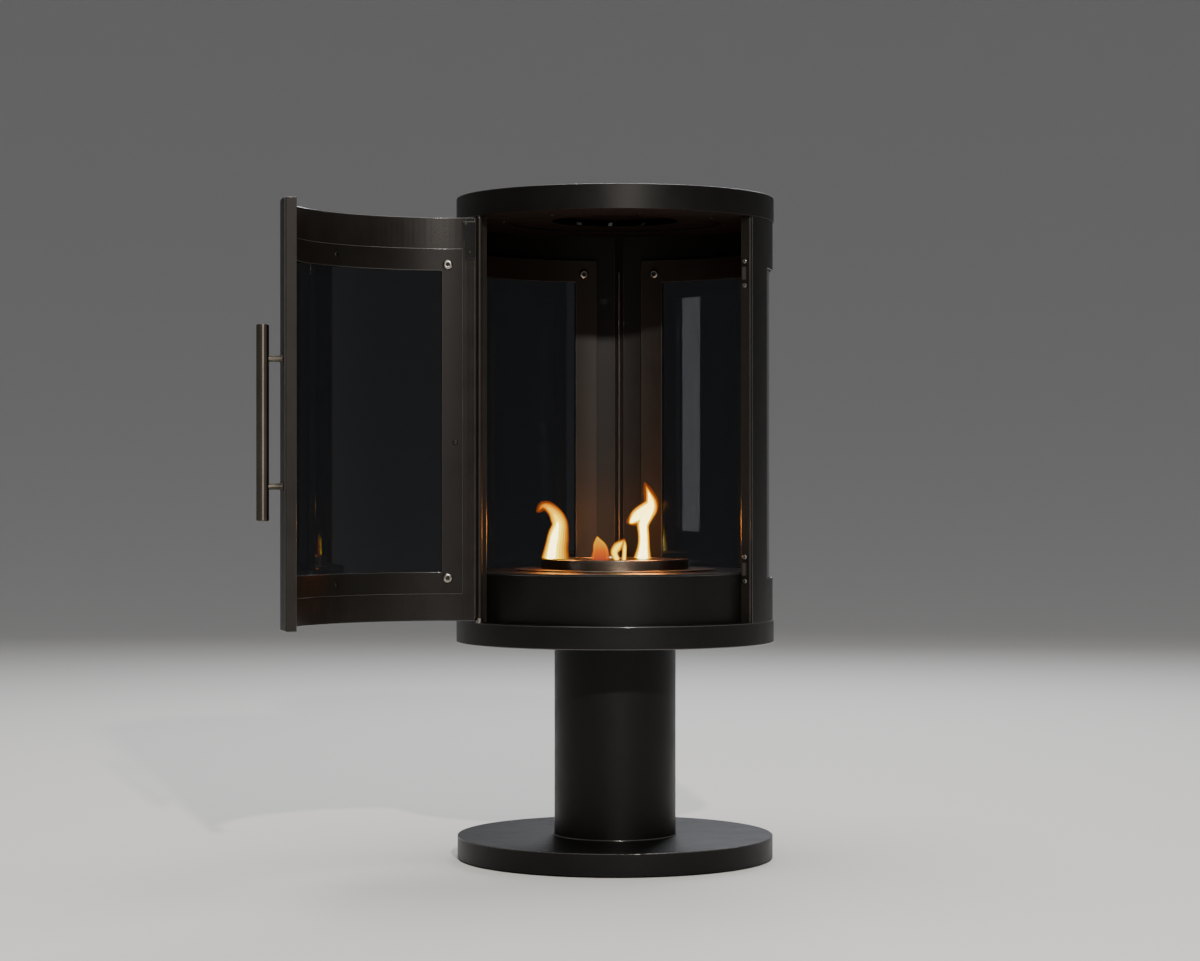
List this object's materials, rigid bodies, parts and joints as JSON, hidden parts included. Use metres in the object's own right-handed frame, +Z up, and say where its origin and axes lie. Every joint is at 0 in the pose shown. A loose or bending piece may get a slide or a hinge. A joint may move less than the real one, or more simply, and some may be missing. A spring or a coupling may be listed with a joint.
{
  "type": "bioethanol fireplace",
  "caption": "Round pedestal bioethanol fireplace with curved glass windows, an open curved glass door with a bar handle, and a lift-out burner.",
  "frame": {"origin": "on the floor, on the axis of the drum and column", "axes": "+Z up along the drum axis; -Y towards the front opening; +X to the right as seen from the front"},
  "size_m": [0.6686, 0.6253, 0.912],
  "materials": {
    "black_powder_coat": "satin black powder coat",
    "inner_dark_paint": "satin black heat-proof paint",
    "clear_glass": "clear ceramic glass",
    "stainless_fasteners": "plain stainless",
    "brushed_handle": "brushed stainless",
    "burner_stainless": "brushed stainless, heat-tinted",
    "zinc_steel": "zinc plated",
    "gasket_tape": "woven glass-fibre tape",
    "rubber_pads": "moulded",
    "ceramic_wool": "felted ceramic fibre",
    "raw_steel": "primed steel",
    "ferrite": "sintered"
  },
  "bodies": {
    "stove": {"base_ballast": "raw_steel", "base_cover": "black_powder_coat", "base_pads": "rubber_pads", "catch_magnets": "ferrite", "catch_plates": "stainless_fasteners", "catch_pole_plates": "zinc_steel", "catch_screws": "stainless_fasteners", "ceiling_baffle": "inner_dark_paint", "ceiling_deflector": "inner_dark_paint", "ceiling_plate": "inner_dark_paint", "ceiling_screws": "stainless_fasteners", "column_foot_bolts": "zinc_steel", "column_foot_flange": "black_powder_coat", "column_head_bolts": "zinc_steel", "column_head_flange": "black_powder_coat", "column_head_nuts": "zinc_steel", "column_tube": "black_powder_coat", "deck_plate": "black_powder_coat", "drum_skirt": "black_powder_coat", "jamb_hinge_side": "inner_dark_paint", "jamb_latch_side": "inner_dark_paint", "lower_deck": "black_powder_coat", "lower_pan": "black_powder_coat", "lower_pivot_washer": "stainless_fasteners", "pivot_pins": "stainless_fasteners", "rear_bead": "inner_dark_paint", "rear_strip": "black_powder_coat", "rear_strip_rivets": "stainless_fasteners", "shell_left": "black_powder_coat", "shell_right": "black_powder_coat", "top_band": "black_powder_coat", "top_plate": "black_powder_coat", "window_clamp_left": "inner_dark_paint", "window_clamp_right": "inner_dark_paint", "window_clamp_screws": "stainless_fasteners", "window_gaskets": "gasket_tape", "window_glass_left": "clear_glass", "window_glass_right": "clear_glass"},
    "door": {"door_skin": "black_powder_coat", "door_frame": "inner_dark_paint", "door_gaskets": "gasket_tape", "door_glass": "clear_glass", "door_clamp": "inner_dark_paint", "door_clamp_screws": "stainless_fasteners", "door_small_screws": "stainless_fasteners", "closing_bar": "inner_dark_paint", "hinge_tube": "inner_dark_paint", "hinge_stile": "inner_dark_paint", "upper_hinge_leaf": "inner_dark_paint", "handle_bar": "brushed_handle", "handle_standoffs": "brushed_handle"},
    "burner": {"burner_flange": "burner_stainless", "burner_collar": "burner_stainless", "fuel_cup": "burner_stainless", "wool_pad": "ceramic_wool", "burner_top": "burner_stainless", "shutter_pin": "burner_stainless"},
    "shutter": {"shutter_disc": "burner_stainless"}
  },
  "joints": [
    {"name": "door_hinge", "type": "hinge", "parent": "stove", "child": "door", "pos_m": [-0.18289, -0.11473, 0.6], "axis": [0, 0, 1], "range_deg": [-6.6, 128.4]},
    {"name": "burner_lift", "type": "slide", "parent": "stove", "child": "burner", "axis": [0, 0, 1], "range_m": [0, 0.15]},
    {"name": "shutter_turn", "type": "hinge", "parent": "burner", "child": "shutter", "pos_m": [0, 0, 0.411], "axis": [0, 0, 1], "range_deg": [0, 45]}
  ]
}
